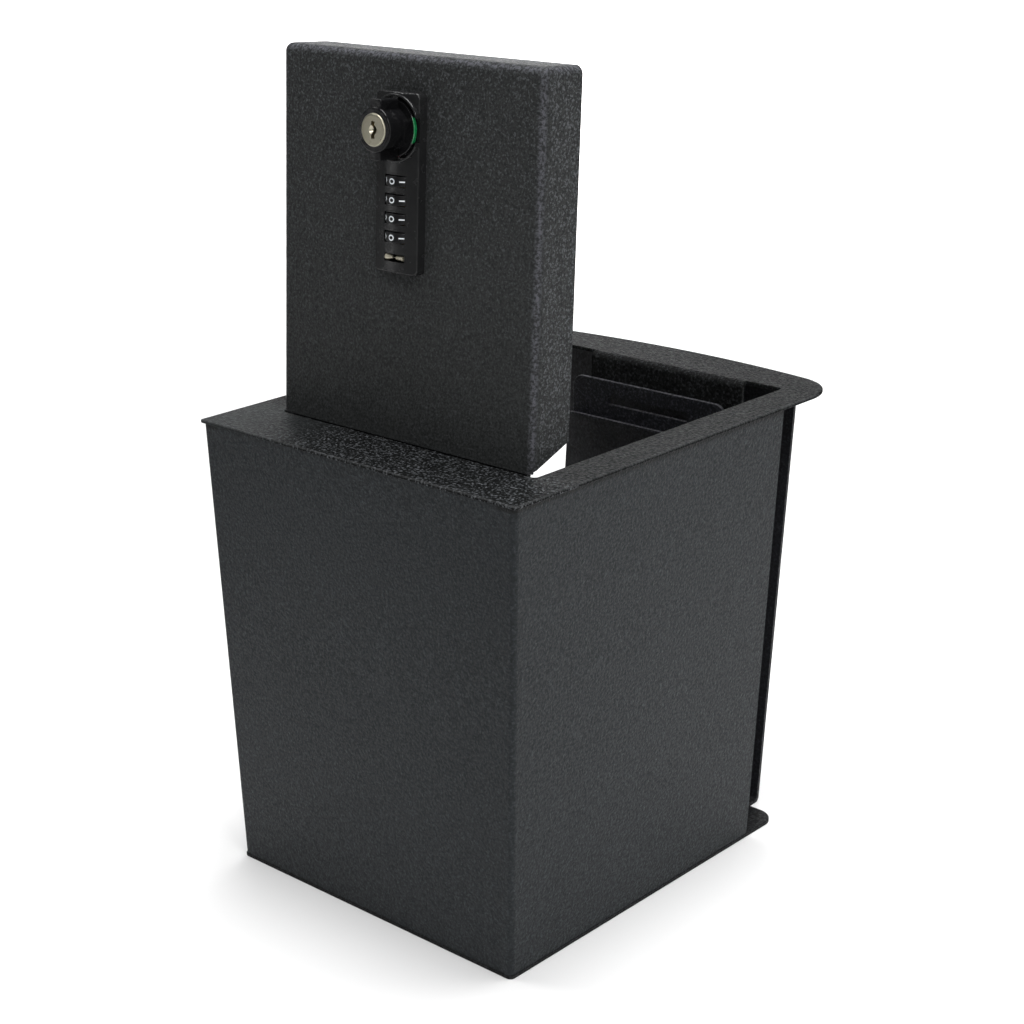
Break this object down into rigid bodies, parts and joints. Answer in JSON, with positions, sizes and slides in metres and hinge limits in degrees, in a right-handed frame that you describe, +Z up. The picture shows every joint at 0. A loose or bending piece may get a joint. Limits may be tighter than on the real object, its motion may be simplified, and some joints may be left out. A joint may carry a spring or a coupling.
{
  "type": "cash box",
  "caption": "Tapered black steel cash box with a wide top plate, open rear corners, a hinged pan lid standing open, and a number-wheel cam lock with a key knob.",
  "frame": {"origin": "underside of the floor plate, at the middle of the outline", "axes": "+Z up, +Y towards the rear, +X to the right seen from the front"},
  "size_m": [0.2316, 0.287, 0.4643],
  "materials": {
    "coat_body": "coarse textured black powder coat",
    "coat_lid": "coarse textured black powder coat",
    "coat_inner": "smoother black powder coat",
    "pad_rubber": "matt rubber",
    "hinge_steel": "dark oiled steel",
    "pin_steel": "plain steel",
    "lock_black": "satin black coated die casting",
    "lock_case_black": "matt black die casting",
    "screw_steel": "zinc plated steel",
    "spring_steel": "spring steel",
    "wheel_black": "black plastic with white numerals",
    "hub_brass": "machined brass",
    "code_brass": "bright brass",
    "nickel": "satin nickel plate",
    "sign_green": "green plastic",
    "sign_red": "red plastic",
    "cam_steel": "zinc plated steel"
  },
  "bodies": {
    "box": {"body_wrap": "coat_body", "rear_panel": "coat_inner", "floor_plate": "coat_body", "top_frame": "coat_lid", "strike_plate": "coat_inner", "lid_rest_left": "coat_inner", "lid_rest_right": "coat_inner", "rest_pads": "pad_rubber", "hinge_fixed_leaf": "hinge_steel", "hinge_pin": "pin_steel"},
    "lid": {"lid_pan": "coat_lid", "hinge_moving_leaf": "hinge_steel", "lock_escutcheon": "lock_black", "knob_collar": "lock_black", "lock_case": "lock_case_black", "lock_screws": "screw_steel", "dial_axle": "pin_steel", "detent_spring": "spring_steel"},
    "code_slider": {"code_slider": "code_brass"},
    "knob": {"knob": "lock_black", "cylinder_shell": "nickel", "knob_spindle": "cam_steel", "indicator_green": "sign_green", "indicator_red": "sign_red", "latch_cam": "cam_steel", "cam_washer": "screw_steel", "cam_screw": "screw_steel"},
    "key_plug": {"key_plug": "nickel", "key_wafers": "hub_brass"},
    "number_wheel_1": {"number_wheel_1": "wheel_black", "wheel_hub_1": "hub_brass"},
    "number_wheel_2": {"number_wheel_2": "wheel_black", "wheel_hub_2": "hub_brass"},
    "number_wheel_3": {"number_wheel_3": "wheel_black", "wheel_hub_3": "hub_brass"},
    "number_wheel_4": {"number_wheel_4": "wheel_black", "wheel_hub_4": "hub_brass"}
  },
  "joints": [
    {"name": "lid_hinge", "type": "hinge", "parent": "box", "child": "lid", "pos_m": [0, -0.1001, 0.2637], "axis": [1, 0, 0], "range_deg": [-86.43, 9]},
    {"name": "knob_turn", "type": "hinge", "parent": "lid", "child": "knob", "pos_m": [0, -0.10431, 0.42908], "axis": [0, -0.9981, 0.0623], "range_deg": [0, 90]},
    {"name": "key_turn", "type": "hinge", "parent": "knob", "child": "key_plug", "pos_m": [0, -0.10431, 0.42908], "axis": [0, -0.9981, 0.0623], "range_deg": [-90, 0]},
    {"name": "code_slide", "type": "slide", "parent": "lid", "child": "code_slider", "axis": [1, 0, 0], "range_m": [0, 0.0015]},
    {"name": "wheel_1_turn", "type": "hinge", "parent": "lid", "child": "number_wheel_1", "pos_m": [0, -0.09557, 0.40214], "axis": [0, 0.0623, 0.9981], "continuous": true},
    {"name": "wheel_2_turn", "type": "hinge", "parent": "lid", "child": "number_wheel_2", "pos_m": [0, -0.09616, 0.39267], "axis": [0, 0.0623, 0.9981], "continuous": true},
    {"name": "wheel_3_turn", "type": "hinge", "parent": "lid", "child": "number_wheel_3", "pos_m": [0, -0.09675, 0.38321], "axis": [0, 0.0623, 0.9981], "continuous": true},
    {"name": "wheel_4_turn", "type": "hinge", "parent": "lid", "child": "number_wheel_4", "pos_m": [0, -0.09734, 0.37375], "axis": [0, 0.0623, 0.9981], "continuous": true}
  ]
}
